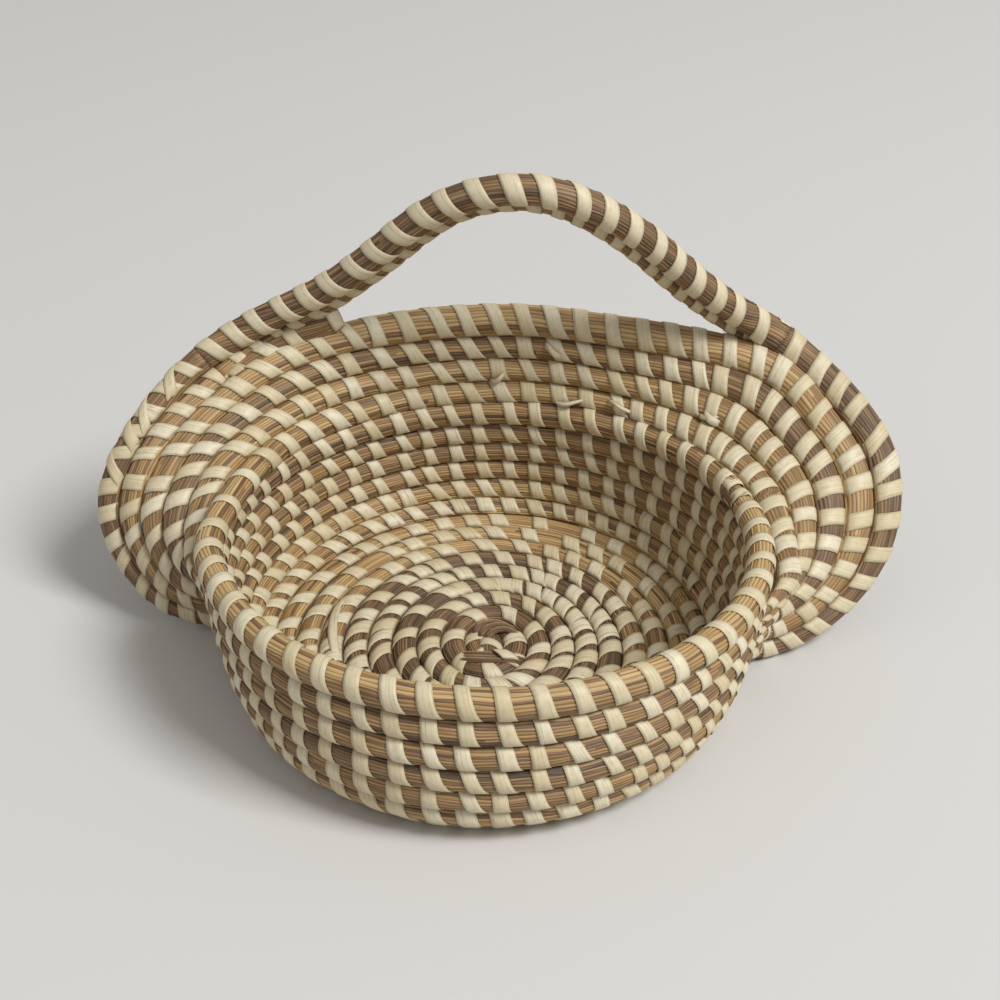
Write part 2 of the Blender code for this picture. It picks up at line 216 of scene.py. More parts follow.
def new_material(name, roughness):
    """A material, its shader and a short way to add and join its nodes."""
    material = bpy.data.materials.new(name)
    material.use_nodes = True
    tree = material.node_tree
    shader = tree.nodes["Principled BSDF"]
    shader.inputs["Roughness"].default_value = roughness

    def add(kind, *values, **settings):
        node = tree.nodes.new("ShaderNode" + kind)
        for key, value in settings.items():
            setattr(node, key, value)
        for socket, value in zip(node.inputs, values):
            if isinstance(value, bpy.types.NodeSocket):
                tree.links.new(value, socket)
            elif value is not None:
                socket.default_value = value
        return node

    return material, shader, add


def maths(add, operation, *values):
    return add("Math", *values, operation=operation).outputs[0]


def blend(add, share, first, second, kind="MIX"):
    """Mixes two colours, given as sockets or as red, green, blue."""
    node = add("Mix", data_type="RGBA", blend_type=kind)
    tree = node.id_data
    for socket, value in ((node.inputs[0], share), (node.inputs[6], first), (node.inputs[7], second)):
        if isinstance(value, bpy.types.NodeSocket):
            tree.links.new(value, socket)
        elif isinstance(value, tuple):
            socket.default_value = (*value, 1)
        else:
            socket.default_value = value
    return node.outputs[2]


GOLD_STEM = (0.58, 0.385, 0.165)
AMBER_STEM = (0.42, 0.25, 0.092)
BROWN_STEM = (0.195, 0.104, 0.047)
DARK_STEM = (0.07, 0.040, 0.019)


def make_grass():
    """Dry stems side by side: each has its own tone, fine fibres along it and painted shade in the groove beside
    it.
    """
    material, shader, add = new_material("bundled_grass", 0.55)
    uv = add("UVMap", uv_map="UVMap").outputs[0]
    place = add("SeparateXYZ", uv)
    along, stem = place.outputs[0], place.outputs[1]
    index = maths(add, "FLOOR", stem)
    tree = material.node_tree
    seed = add("TexWhiteNoise", noise_dimensions="1D")
    tree.links.new(index, seed.inputs["W"])
    # A stem is about 14 cm long before the next is fed in beside it
    feed = maths(add, "FLOOR", maths(add, "ADD", maths(add, "DIVIDE", along, 14.0), seed.outputs[0]))
    pair = add("CombineXYZ", index, feed, 0.0)
    own = add("TexWhiteNoise", pair.outputs[0], noise_dimensions="3D")
    tone = add("Attribute", attribute_name="tone").outputs["Fac"]
    fibre_place = add("CombineXYZ", maths(add, "MULTIPLY", along, 0.6), maths(add, "MULTIPLY", stem, 7.0), 0.0)
    fibre = add("TexNoise", noise_dimensions="2D")
    tree.links.new(fibre_place.outputs[0], fibre.inputs["Vector"])
    fibre.inputs["Scale"].default_value = 1.0
    fibre.inputs["Detail"].default_value = 4.0
    patch_place = add("CombineXYZ", maths(add, "MULTIPLY", along, 0.35), maths(add, "MULTIPLY", stem, 0.3), 0.0)
    patch = add("TexNoise", noise_dimensions="2D")
    tree.links.new(patch_place.outputs[0], patch.inputs["Vector"])
    patch.inputs["Scale"].default_value = 1.0
    # One stem in seven is much darker than the rest
    odd = maths(add, "MULTIPLY", maths(add, "GREATER_THAN", own.outputs[0], 0.86), 0.2)
    # Brown rush is more even in tone than gold grass
    variety = maths(add, "MULTIPLY_ADD", tone, -0.55, 0.84)
    spread = maths(add, "MULTIPLY_ADD", maths(add, "SUBTRACT", own.outputs[0], 0.52), variety, odd)
    drift = maths(add, "MULTIPLY", maths(add, "SUBTRACT", patch.outputs[0], 0.5), 0.6)
    shade = maths(add, "ADD", maths(add, "ADD", tone, spread), drift)
    ramp = add("ValToRGB", shade)
    ramp.color_ramp.elements[0].position = 0.0
    ramp.color_ramp.elements[0].color = (*GOLD_STEM, 1)
    ramp.color_ramp.elements[1].position = 1.0
    ramp.color_ramp.elements[1].color = (*DARK_STEM, 1)
    ramp.color_ramp.elements.new(0.3).color = (*AMBER_STEM, 1)
    ramp.color_ramp.elements.new(0.66).color = (*BROWN_STEM, 1)
    fine = maths(add, "MULTIPLY", maths(add, "SUBTRACT", fibre.outputs[0], 0.5), 1.5)
    lit = blend(add, maths(add, "MAXIMUM", fine, 0.0), ramp.outputs[0], (0.64, 0.49, 0.30))
    dim = blend(add, maths(add, "MAXIMUM", maths(add, "MULTIPLY", fine, -1.3), 0.0), lit, (0.05, 0.028, 0.014))
    # Painted shade: each stem darkens to near black at its edges, in the groove where shadow falls between stems
    part = maths(add, "FRACT", stem)
    off = maths(add, "ABSOLUTE", maths(add, "SUBTRACT", part, 0.5))
    groove_shade = maths(add, "POWER", maths(add, "MULTIPLY", off, 2.0), 4.0)
    color = blend(add, maths(add, "MULTIPLY", groove_shade, 0.75), dim, (0.03, 0.016, 0.008))
    tree.links.new(color, shader.inputs["Base Color"])
    bump = add("Bump")
    bump.inputs["Strength"].default_value = 0.35
    bump.inputs["Distance"].default_value = 0.0003
    tree.links.new(fibre.outputs[0], bump.inputs["Height"])
    tree.links.new(bump.outputs[0], shader.inputs["Normal"])
    return material


GRASS = make_grass()

CREAM = (0.60, 0.505, 0.32)
CREAM_LIGHT = (0.70, 0.635, 0.47)
CREAM_DEEP = (0.44, 0.345, 0.185)


def make_palm():
    """Split palm leaf, pale and satin: fibres along it, darker lines, painted shade at its edges, own tone per
    strip.
    """
    material, shader, add = new_material("palm_strip", 0.5)
    tree = material.node_tree
    place = add("SeparateXYZ", add("UVMap", uv_map="UVMap").outputs[0])
    along, wide = place.outputs[0], place.outputs[1]
    tone = add("Attribute", attribute_name="tone").outputs["Fac"]
    line_place = add(
        "CombineXYZ",
        maths(add, "MULTIPLY", along, 0.8),
        maths(add, "ADD", maths(add, "MULTIPLY", wide, 14.0), maths(add, "MULTIPLY", tone, 91.0)),
        0.0,
    )
    lines = add("TexNoise", noise_dimensions="2D")
    tree.links.new(line_place.outputs[0], lines.inputs["Vector"])
    lines.inputs["Scale"].default_value = 1.0
    lines.inputs["Detail"].default_value = 2.0
    mottle = add("TexNoise")
    tree.links.new(add("TexCoord").outputs["Object"], mottle.inputs["Vector"])
    mottle.inputs["Scale"].default_value = 520.0
    body = blend(add, tone, CREAM, CREAM_LIGHT)
    spots = maths(add, "MULTIPLY", maths(add, "SUBTRACT", 0.5, mottle.outputs[0]), 1.3)
    low = maths(add, "ADD", maths(add, "MULTIPLY", maths(add, "SUBTRACT", 0.53, lines.outputs[0]), 2.6), spots)
    streaked = blend(add, maths(add, "MAXIMUM", low, 0.0), body, CREAM_DEEP)
    # Painted shade: each strip darkens towards its long edges, as the thin shadow of a strip that stands off the
    # stems
    edge = maths(add, "ABSOLUTE", maths(add, "SUBTRACT", wide, 0.5))
    rim = maths(add, "POWER", maths(add, "MULTIPLY", edge, 2.0), 8.0)
    color = blend(add, maths(add, "MULTIPLY", rim, 0.55), streaked, (0.36, 0.29, 0.17))
    tree.links.new(color, shader.inputs["Base Color"])
    bump = add("Bump")
    bump.inputs["Strength"].default_value = 0.4
    bump.inputs["Distance"].default_value = 0.0002
    tree.links.new(lines.outputs[0], bump.inputs["Height"])
    tree.links.new(bump.outputs[0], shader.inputs["Normal"])
    return material


PALM = make_palm()
STRIP_THICKNESS = 0.00026
STRIP_LIFT = 0.00016
PALM_CUT = random.Random(11)


def strip_along(shape, row, path, width, lift, segments, tone):
    """One strip: a small grid laid on the coil, whose path gives the place and angle at shares 0 to 1."""
    tones = shape.verts.layers.float["tone"]
    made = bmesh.ops.create_grid(shape, x_segments=segments, y_segments=4, size=0.5, calc_uvs=True)["verts"]
    flat = np.array([vert.co[:2] for vert in made])
    share, wide = flat[:, 0] + 0.5, flat[:, 1]
    places, angles, lifts, widths = path(share, wide)
    places = places + wide * width * widths
    crown = 1 - 0.5 * (2 * wide) ** 4
    points = row.surface(places, angles, lift * lifts * crown)
    points[:, 2] = np.maximum(points[:, 2], 0.0002)
    for vert, point in zip(made, points):
        vert.co = point
        vert[tones] = tone
    return made


def strips_object(name, shape, material):
    """Turns the laid grids' faces outwards and makes them one object."""
    bmesh.ops.recalc_face_normals(shape, faces=shape.faces)
    mesh = bpy.data.meshes.new(name)
    shape.to_mesh(mesh)
    shape.free()
    return add_object(name, mesh, material)


def new_strips():
    shape = bmesh.new()
    shape.loops.layers.uv.new("UVMap")
    shape.verts.layers.float.new("tone")
    return shape


def thicken(piece):
    solid = piece.modifiers.new("thickness", "SOLIDIFY")
    solid.thickness = STRIP_THICKNESS
    solid.offset = 0
    return piece


SEAM = math.radians(24)


def stitches(name, row, centres, width, slant, lift=STRIP_LIFT, seam=SEAM, tones=(0.0, 1.0), flare=0.5):
    """Stitches that go out of the seam, over the coil and back into it, each on its own slant.

    Each widens on its leading edge where it runs into the seam."""
    shape = new_strips()
    slants = np.broadcast_to(slant, len(centres))
    widths = np.broadcast_to(width, len(centres))
    for centre, own_slant, own_width in zip(centres, slants, widths):
        own_slant = own_slant * PALM_CUT.uniform(0.5, 1.5)
        own_width = own_width * PALM_CUT.uniform(0.88, 1.12)
        tone = PALM_CUT.uniform(*tones)
        swing = PALM_CUT.uniform(-0.0003, 0.0003)

        def path(share, wide):
            turn = 2 * share - 1
            ends = np.clip((np.abs(turn) - 0.84) / 0.16, 0, 1)
            places = centre + own_slant * turn + swing * np.cos(3 * turn)
            leading = np.where(wide * turn > 0, flare * np.abs(turn) ** 3, 0)
            return places, turn * (math.pi - seam), 1 - 3.5 * ends**2, 1 + leading

        strip_along(shape, row, path, own_width, lift, 16, tone)
    return thicken(strips_object(name, shape, PALM))


def loose_strip(shape, row, place, angle, length, drift, rise, width):
    """A strip that lies along a coil instead of round it, and stands off it between its ends."""

    def path(share, wide):
        angles = angle + drift * share + wide * width / 0.0045
        lifts = 1.6 + rise * np.sin(math.pi * share) - 2.4 * np.abs(2 * share - 1) ** 8
        return place + length * share, angles, lifts, 0 * share

    strip_along(shape, row, path, width, 2 * STRIP_LIFT, 20, PALM_CUT.uniform(0.3, 0.9))


SEAM_PRESS = 0.00025


def spiral_row(first, last, start=0.0):
    """The row of the spiral between two turns. It starts thin, wound round the knot."""
    turns = np.linspace(first, last, round((last - first) * 240) + 1)
    line = spiral(turns)
    full = np.interp(turns, [-0.75, -0.1], [0.6, 1])
    # It fills the room round the knot, and the last row widens towards the thicker rim
    wider = np.interp(turns, [-0.75, 0, 0.5, 13, 14], [1.05, 1.05, 1, 1, 1.17])
    across = (ROW_PITCH / 2 + SEAM_PRESS) * wider
    away = np.where(turns[:, None] < 0.5, line * [1, 1, 0], line - spiral(turns - 1))
    return Row(line, away, across, 0.0042 * full, start), turns


# Each stitch is set beside the stitch of the loop before, and a new one is added where they part
# as the loops grow. On the wall they stand in columns, at the same places in every row.
COLUMNS = 52
STITCH_TURNS = [-0.6, -0.4, -0.2, *np.linspace(0.02, 0.98, 8)]
SEW = random.Random(3)
i = 3
while STITCH_TURNS[i] < BASE_LOOPS - 1:
    here, following = STITCH_TURNS[i], STITCH_TURNS[i + 1]
    radius = np.interp(here + 1, LOOP_PLACES, LOOP_RADII)
    loop = 2 * math.pi * radius
    creep = np.interp(here, [0, 7], [0.0056, 0.0048])
    child = here + 1 + creep / loop + SEW.uniform(-0.001, 0.001) / loop
    STITCH_TURNS.append(max(child, STITCH_TURNS[-1] + 0.0062 / loop))
    widest = np.interp(here, [0, 3, 7], [0.0120, 0.0150, 0.0195]) * SEW.uniform(0.93, 1.07)
    if (following - here) * loop > widest:
        STITCH_TURNS.append(child + (following - here) / 2)
    i += 1
STITCH_TURNS = [turn for turn in STITCH_TURNS if turn < BASE_LOOPS]
for i in range(COLUMNS * len(WALL_LEANS)):
    STITCH_TURNS.append(BASE_LOOPS + (i + 0.5 + SEW.uniform(-0.09, 0.09)) / COLUMNS)
STITCH_TURNS = np.array(STITCH_TURNS)


def stitch_places(row, turns):
    inside = STITCH_TURNS[(STITCH_TURNS > turns[0]) & (STITCH_TURNS < turns[-1])]
    return np.interp(inside, turns, row.run)


coil_start = 0.0
for name, first, last, tone in (
    ("base_coil_dark", -0.72, DARK_LOOPS, (0.72, 0.8, 0.82, 0.84, 0.7)),
    ("base_coil_tan", DARK_LOOPS, BASE_LOOPS, (0.5, 0.22, 0.28, 0.25)),
):
    row, turns = spiral_row(first, last, coil_start)
    coil_start += row.length
    centres = stitch_places(row, turns)
    piece = bundle(name + "_bundle", row, tone, GRASS, floor=0.0005, pinches=centres)
    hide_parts(name)
    at_turns = np.interp(centres, row.run, turns)
    slant = np.interp(at_turns, [-0.5, 0, 1.5, 6, 8], [0.001, 0.003, 0.0052, 0.0046, 0.0042])
    width = np.interp(at_turns, [-0.5, 0, 1.5, 6, 8], [0.004, 0.0052, 0.0064, 0.0068, 0.0064])
    piece = stitches(name + "_stitches", row, centres, width, slant, flare=0.45)

# The spare end of one strip lies along the sixth loop, on the left
shape = new_strips()
loose_strip(shape, row, np.interp(5.535, turns, row.run), 2.0, 0.036, -1.2, 0.8, 0.0036)
thicken(strips_object("base_loose_strip", shape, PALM))

# The centre knot
# The first few stems, bent back on themselves at the middle of the base and bound to the first loop.

KNOT_LENGTH = 0.0162
line = np.stack([0 * np.linspace(-1, 1, 41), np.linspace(-0.5, 0.5, 41) * KNOT_LENGTH, np.full(41, BASE_HEIGHT)], axis=1)
thinning = 1 - 0.25 * np.abs(np.linspace(-1, 1, 41)) ** 3
row = Row(line, np.tile([1.0, 0, 0], (41, 1)), 0.0049 * thinning, 0.0043 * thinning)
piece = bundle("centre_knot_bundle", row, (0.75, 0.7), GRASS, floor=0.0005)
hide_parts("centre_knot")
piece = stitches("centre_knot_stitches", row, (0.0045,), 0.0046, -0.0055, flare=0.2)

# The stems round the knot
# Single brown stems left over from the knot, bent over the first loop: three lie side by side in
# front under one pale strip, and three curl behind it.

LOOSE_STEMS = (  # x and y of the start, middle and end, and the height of the middle
    ((-0.0120, -0.0078), (-0.0005, -0.0094), (0.0105, -0.0080), 0.0077),
    ((-0.0130, -0.0092), (-0.0005, -0.0113), (0.0120, -0.0096), 0.0074),
    ((-0.0125, -0.0112), (-0.0005, -0.0132), (0.0115, -0.0116), 0.0077),
    ((-0.0060, 0.0050), (-0.0010, 0.0096), (0.0075, 0.0092), 0.0080),
    ((-0.0040, 0.0030), (0.0015, 0.0076), (0.0095, 0.0066), 0.0083),
    ((-0.0015, 0.0015), (0.0035, 0.0055), (0.0105, 0.0040), 0.0080),
)
bend = np.linspace(-1, 1, 25)[:, None]
for number, (start, middle, end, height) in enumerate(LOOSE_STEMS, 1):
    start, middle, end = (np.array([*point, 0.0]) for point in (start, middle, end))
    line = middle + (end - start) / 2 * bend + ((start + end) / 2 - middle) * bend**2
    line[:, 2] = height - 0.0024 * bend[:, 0] ** 4
    row = Row(line, np.tile([0, 1.0, 0], (25, 1)), 0.0012, 0.0012)
    piece = bundle(f"centre_stem_{number}", row, (0.7, 0.78), GRASS)
    if number == 2:
        wide_row = Row(line, np.tile([0, 1.0, 0], (25, 1)), 0.0038, 0.0022)
piece = stitches("centre_stem_strip", wide_row, (0.0165,), 0.0048, 0.0030, lift=0.0003, flare=0.2)

# The foot row and the wall
# The same bundle, turned up from the base and wound row on row. Amber grass in the two lowest
# rows and browner above, each row sewn to the row below by pale stitches that stand in columns.

WALL_TONES = {
    "foot_row": (0.3, 0.35, 0.3, 0.25),
    "wall_row_1": (0.3, 0.35, 0.3, 0.35),
    "wall_row_2": (0.5, 0.55, 0.5, 0.5),
    "wall_row_3": (0.5, 0.6, 0.5, 0.55),
    "wall_row_4": (0.5, 0.6, 0.55, 0.5),
    "wall_row_5": (0.45, 0.6, 0.55, 0.45),
}
for i, (name, tone) in enumerate(WALL_TONES.items()):
    row, turns = spiral_row(BASE_LOOPS + i, BASE_LOOPS + i + 1, coil_start)
    coil_start += row.length
    centres = stitch_places(row, turns)
    floor = 0.0005 if name == "foot_row" else None
    piece = bundle(name + "_bundle", row, tone, GRASS, floor=floor, pinches=centres)
    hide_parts(name)
    width, slant = (0.0060, 0.0048) if i < 2 else (0.0051, 0.0036)
    piece = stitches(name + "_stitches", row, centres, width, slant)

# The back rows
# Rows that climb higher over the back wall and run out past the bowl into both ears, where they
# spread. The top one is the thickest.

STATIONS = (  # x, y, height of row 0 as shares of the rim; bearing and climb of the step; spacing
    (0.965, -0.270, 0.715, 165, -76, 0.70),
    (1.062, -0.145, 0.742, 160, -72, 0.76),
    (1.098, -0.062, 0.781, 156, -74, 1.02),
    (1.101, 0.000, 0.810, 32, -76, 1.02),
    (1.095, 0.082, 0.848, 15, -45, 1.11),
    (1.077, 0.206, 0.914, 12, -18, 1.28),
    (1.041, 0.351, 0.981, 15, 5, 1.38),
    (0.959, 0.505, 1.038, 22, 21, 1.39),
    (0.809, 0.686, 1.085, 29, 39, 1.39),
    (0.505, 0.907, 1.109, 53, 74, 1.05),
    (0.103, 1.005, 1.128, 90, 80, 1.05),
    (-0.351, 0.943, 1.118, 113, 78, 1.05),
    (-0.701, 0.722, 1.110, 128, 64, 1.08),
    (-0.902, 0.428, 1.090, 125, 36, 1.10),
    (-0.970, 0.281, 1.057, 142, 15, 1.09),
    (-0.991, 0.142, 1.000, 151, -8, 1.22),
    (-1.019, 0.067, 0.974, 149, -32, 1.18),
    (-1.066, 0.027, 0.955, 133, -60, 1.05),
    (-1.107, -0.012, 0.924, 59, -67, 1.04),
    (-1.063, -0.104, 0.901, 10, -74, 0.90),
    (-0.930, -0.270, 0.860, 10, -74, 0.75),
)
RIGHT_SHOULDER = 8
LEFT_SHOULDER = 13
TOP_ROW_EXTRA = (0.0108 - COIL_DIAMETER) / 2
TOP_ROW_WEIGHTS = np.array([0, 0, 0, 0, 0, 0, 0, 0, 0.3, 1, 1, 1, 0.3, 0, 0, 0, 0, 0, 0, 0, 0])
RIM_RADIUS, RIM_HEIGHT = LOOP_RADII[-1], LOOP_HEIGHTS[-1]
station_starts = np.array([(x * RIM_RADIUS, y * RIM_RADIUS, z * RIM_HEIGHT) for x, y, z, _, _, _ in STATIONS])
bearings, climbs = np.radians([s[3] for s in STATIONS]), np.radians([s[4] for s in STATIONS])
spreads = np.array([s[5] for s in STATIONS])
station_steps = np.stack(
    [np.cos(climbs) * np.cos(bearings), np.cos(climbs) * np.sin(bearings), np.sin(climbs)], axis=1
) * (spreads * ROW_PITCH)[:, None]


def smooth(values, places):
    """A natural cubic spline through values, which stand at 0, 1, 2 and so on, read at places."""
    values = np.asarray(values, float)
    count = len(values)
    matrix = np.eye(count)
    right = np.zeros_like(values)
    for i in range(1, count - 1):
        matrix[i, i - 1 : i + 2] = (1, 4, 1)
        right[i] = 6 * (values[i - 1] - 2 * values[i] + values[i + 1])
    bend = np.linalg.solve(matrix, right)
    places = np.asarray(places, float)
    left = np.clip(places.astype(int), 0, count - 2)
    after = (places - left).reshape(-1, *[1] * (values.ndim - 1))
    before = 1 - after
    curve = (before**3 - before) * bend[left] + (after**3 - after) * bend[left + 1]
    return before * values[left] + after * values[left + 1] + curve / 6


ROW_END_DEPTHS = (0.0, 0.003, 0.003, 0.0)


def outside_wall(point, depth):
    """Moves a row's end out so that it sinks into the wall's outer side but not through it."""
    middle = BOWL_SHIFT + [0, 0, point[2]]
    radius = np.interp(point[2], LOOP_HEIGHTS[2:], LOOP_RADII[2:]) + depth
    oval = np.interp(point[2], LOOP_HEIGHTS[2:], LOOP_OVALS[2:])
    x, y, _ = point - middle
    share = math.hypot(x / radius, y / (radius + oval))
    return middle + (point - middle) / min(share, 1)


def station_row(number):
    """The middle of a back row at each station, counted from row 0, which runs on from the rim."""
    extra = TOP_ROW_EXTRA * TOP_ROW_WEIGHTS / np.linalg.norm(station_steps, axis=1)
    points = station_starts + station_steps * (number + (number > 2) * extra)[:, None]
    for i, depth in zip((0, 1, -2, -1), ROW_END_DEPTHS):
        points[i] = outside_wall(points[i], depth)
    return points


def rim_turns(lead):
    return np.arange(-lead, 12) / 20


def rim_knots(lead):
    turns = rim_turns(lead)
    rise = RIM_HEIGHT - LOOP_HEIGHTS[-2]
    return oval_point(RIM_RADIUS, LOOP_OVALS[-1], RIM_HEIGHT + rise * turns, turns) + BOWL_SHIFT


def off_wall(line):
    """The direction to a line from the nearest place on the wall's last row."""
    wall = spiral(np.linspace(13, 14, 400))
    nearest = np.linalg.norm(line[:, None] - wall[None], axis=2).argmin(1)
    return line - wall[nearest]


def swelled(extra=0.0, weights=0.0):
    """Half sizes of a row at each station: across the ear it widens so that the rows still touch."""
    across = 1.03 * ROW_PITCH / 2 * spreads + SEAM_PRESS + extra * weights
    through = 0.0043 * (1 + 0.45 * (spreads - 1)) + extra * weights
    return across, through


# Tones give the stems' own mix of amber and brown; the upper rows rise towards their left ends as painted shade on
# the left ear, which lies away from the light
BACK_ROWS = (
    (0, "back_row_1", "amber_grass", (0.45, 0.45, 0.4, 0.3, 0.3, 0.3, 0.35, 0.45)),
    (1, "back_row_2", "amber_grass", (0.45, 0.45, 0.35, 0.25, 0.25, 0.25, 0.4, 0.55)),
    (2, "back_row_3", "dark_rush", (0.65, 0.7, 0.65, 0.5, 0.55, 0.6, 0.7, 0.75)),
    (3, "top_back_row", "amber_grass", (0.35, 0.3, 0.3, 0.2, 0.15, 0.25, 0.55, 0.65)),
)

COLUMN = random.Random(8)
last = len(STATIONS) - 1


def spaced(row, places, steps, anchor):
    """Lengths along a row at which its stitches stand, counted both ways from the anchor."""
    counts = np.concatenate([[0], np.cumsum(np.diff(row.run) / steps[1:])])
    counts -= np.interp(anchor, places, counts)
    whole = np.arange(math.ceil(counts[0]), counts[-1])
    whole = whole + np.array([COLUMN.uniform(-0.08, 0.08) for _ in whole])
    centres = np.interp(whole, counts, row.run)
    return centres[(centres > 0.002) & (centres < row.length - 0.002)]


def thinned(places, end):
    """Each row thins out where its ends are tucked in beside the wall."""
    return np.interp(places, (0, 1.6, end - 1.6, end), (0.45, 1, 1, 0.45))


# On the back the stitches stand in columns, and on the ears they are closer together
back_rows = []
for number, name, slot, tone in BACK_ROWS:
    end = LEFT_SHOULDER if number == 0 else last
    places = np.linspace(0, end, end * 24 + 1)
    knots = station_row(number)
    if number == 0:
        knots = np.concatenate([knots[: LEFT_SHOULDER + 1], rim_knots(0)[::-1]])
    line = smooth(knots, places)
    away = off_wall(line) if number == 0 else smooth(station_steps, places)
    weights = TOP_ROW_WEIGHTS if number == 3 else 0 * TOP_ROW_WEIGHTS
    across, through = (smooth(half, places) for half in swelled(TOP_ROW_EXTRA, weights))
    if number == 0:
        # It widens where it leaves the rim on the right, so that no slit opens under it
        slit = np.clip(np.linalg.norm(away, axis=1) - ROW_PITCH / 2 - across, 0, 0.0015)
        across = across + slit * np.interp(places, (5.4, 6.2, 8.5, 9.5), (0, 1, 1, 0))
    thinner = thinned(places, last)
    row = Row(line, away, across * thinner, through * thinner)
    back_rows.append((row, places))
    ear_step = 0.0094 + 0.0005 * number
    steps = np.interp(places, (8, 9.5, 13.5, 15), (ear_step, 0.0120, 0.0120, ear_step))
    centres = spaced(row, places, steps, 11)
    piece = bundle(name + "_bundle", row, tone, GRASS, pinches=centres)
    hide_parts(name)
    widths = np.interp(places, (7, 9, 13, 15), (0.0056, 0.0057, 0.0057, 0.0054)) * thinner
    slants = np.interp(np.interp(centres, row.run, places), (7, 9), (0.0036, 0.0046))
    piece = stitches(name + "_stitches", row, centres, np.interp(centres, row.run, widths), slants)

# Loose strip ends: row, station, angle round the coil, length, drift round it, rise, width
LOOSE_ENDS = (
    (2, 9.55, -1.9, 0.007, 0.9, 9, 0.0024),
    (1, 10.1, -1.7, 0.006, -0.8, 7, 0.0022),
    (0, 8.75, -2.0, 0.011, 0.5, 9, 0.0012),
    (0, 9.3, -1.9, 0.012, -0.4, 10, 0.0011),
    (1, 7.80, -2.5, 0.008, 0.3, 6, 0.0022),
    (1, 7.85, -2.2, 0.008, -0.3, 5, 0.0014),
)
shape = new_strips()
for number, station, angle, length, drift, rise, width in LOOSE_ENDS:
    row, places = back_rows[number]
    loose_strip(shape, row, np.interp(station, places, row.run), angle, length, drift, rise, width)
thicken(strips_object("back_loose_strips", shape, PALM))

# The front rim
# The last row of the bowl over the open front, thicker, with wide pale strips wound round it.

EDGE_RADIUS = 0.0049
knots = np.concatenate([rim_knots(2), station_row(0)[LEFT_SHOULDER:RIGHT_SHOULDER:-1]])
places = np.linspace(1.8, 14, 12 * 24 + 1)
line = smooth(knots, places)
thick = EDGE_RADIUS * np.interp(places, (1.8, 2.6), (0.78, 1))
# It widens where it climbs off the wall, so that no slit opens under it
off = off_wall(line)
across = np.clip(np.linalg.norm(off, axis=1) - ROW_PITCH / 2, thick, 0.0059)
across = np.where(places < 3, thick, across)
row = Row(line, off, across, thick, coil_start)
columns = 2 + 20 * (np.arange(COLUMNS) + 0.5) / COLUMNS
centres = np.interp(columns[columns < 13.9], places, row.run)
# The rim's underside, towards the wall row below, gets painted shade as more brown
piece = bundle("front_rim_bundle", row, (0.15, 0.2, 0.1, 0.2), GRASS, pinches=centres, seam_side_shade=0.6)
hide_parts("front_rim")
piece = stitches("rim_strips", row, centres, 0.0054, 0.0030, lift=0.00022)
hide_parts("rim_strip")
# A wide strip binds the rim where it begins beside the first back row, on the right
piece = stitches("rim_start_lashing", row, np.interp([1.93], places, row.run), 0.0068, 0.0020, lift=0.0010, flare=0)

# The edge coil and the handle
# The outermost coil: it edges the left ear, rises into the handle, and comes down as the outer
# edge of the right ear. A pale strip is wound round it all the way.

HANDLE_RISE = 0.0729
HANDLE_LEAN = 0.0199
HANDLE_SPANS = (0.108, 0.216, 0.315, 0.414, 0.540, 0.658, 0.766, 0.874)
HANDLE_RISES = (0.185, 0.375, 0.623, 0.878, 1.0, 0.893, 0.639, 0.306)
HANDLE_BACKS = (0.117, 0.111, 0.095, 0.067, 0.0, -0.006, 0.004, 0.021)
INNER_TURNS = [math.radians(degrees) for degrees in (-25, 15, 32, 34, 34, 34, 34, 34, 32, 28)]
INNER_STEP = 0.0101

right, left = station_row(4)[RIGHT_SHOULDER], station_row(5)[LEFT_SHOULDER]
arch = (
    left
    + np.array(HANDLE_SPANS)[:, None] * (right - left)
    + np.array(HANDLE_RISES)[:, None] * np.array([0, -HANDLE_LEAN, HANDLE_RISE])
    + np.array(HANDLE_BACKS)[:, None] * np.array([0, HANDLE_RISE, 0])
)
edge = np.concatenate([station_row(5)[: LEFT_SHOULDER - 1 : -1], arch, station_row(4)[RIGHT_SHOULDER::-1]])
left_end = len(STATIONS) - 1 - LEFT_SHOULDER
right_end = len(edge) - 1 - RIGHT_SHOULDER
upright = np.cross(edge[right_end] - edge[left_end], edge[left_end + 5] - edge[left_end])
inner = list(station_row(4)[:LEFT_SHOULDER:-1])
inner_away = list(unit(station_steps[:LEFT_SHOULDER:-1]))
edge_away = list(unit(station_steps[: LEFT_SHOULDER - 1 : -1]))
for i, turn in zip(range(left_end, right_end + 1), INNER_TURNS):
    ahead = edge[i + 1] - edge[i - 1]
    inward = unit(np.cross(ahead, upright))
    back = unit(np.cross(ahead, inward))
    side = math.cos(turn) * inward + math.sin(turn) * back
    inner.append(edge[i] + side * INNER_STEP)
    inner_away.append(-side)
    if left_end < i < right_end:
        edge_away.append(-side)
edge_away = np.array(edge_away + list(unit(station_steps[RIGHT_SHOULDER::-1])))
ear_across = 1.03 * ROW_PITCH / 2 * spreads + SEAM_PRESS
plain = np.full(len(arch), 0.0054)
edge_across = np.concatenate([ear_across[: LEFT_SHOULDER - 1 : -1], plain, ear_across[RIGHT_SHOULDER::-1]])
inner_across = np.concatenate([ear_across[:LEFT_SHOULDER:-1], [0.0056, 0.0054, 0.005], 0 * arch[1:, 0]])
inner, inner_away = np.array(inner), np.array(inner_away)


def winding(name, row, first, last, pitch, width, lift=0.0002, phase=0.0):
    """One long strip wound round a coil, between two lengths along it."""
    shape = new_strips()
    turns = (last - first) / pitch

    def path(share, wide):
        turn = share * turns
        places = first + pitch * turn + 0.0006 * np.sin(2.3 * turn + phase)
        return places, 2 * math.pi * turn + phase, 1 + 0 * share, 1 + 0.06 * np.sin(1.7 * turn)

    strip_along(shape, row, path, width, lift, round(turns * 18), PALM_CUT.uniform(0.3, 0.7))
    return thicken(strips_object(name, shape, PALM))


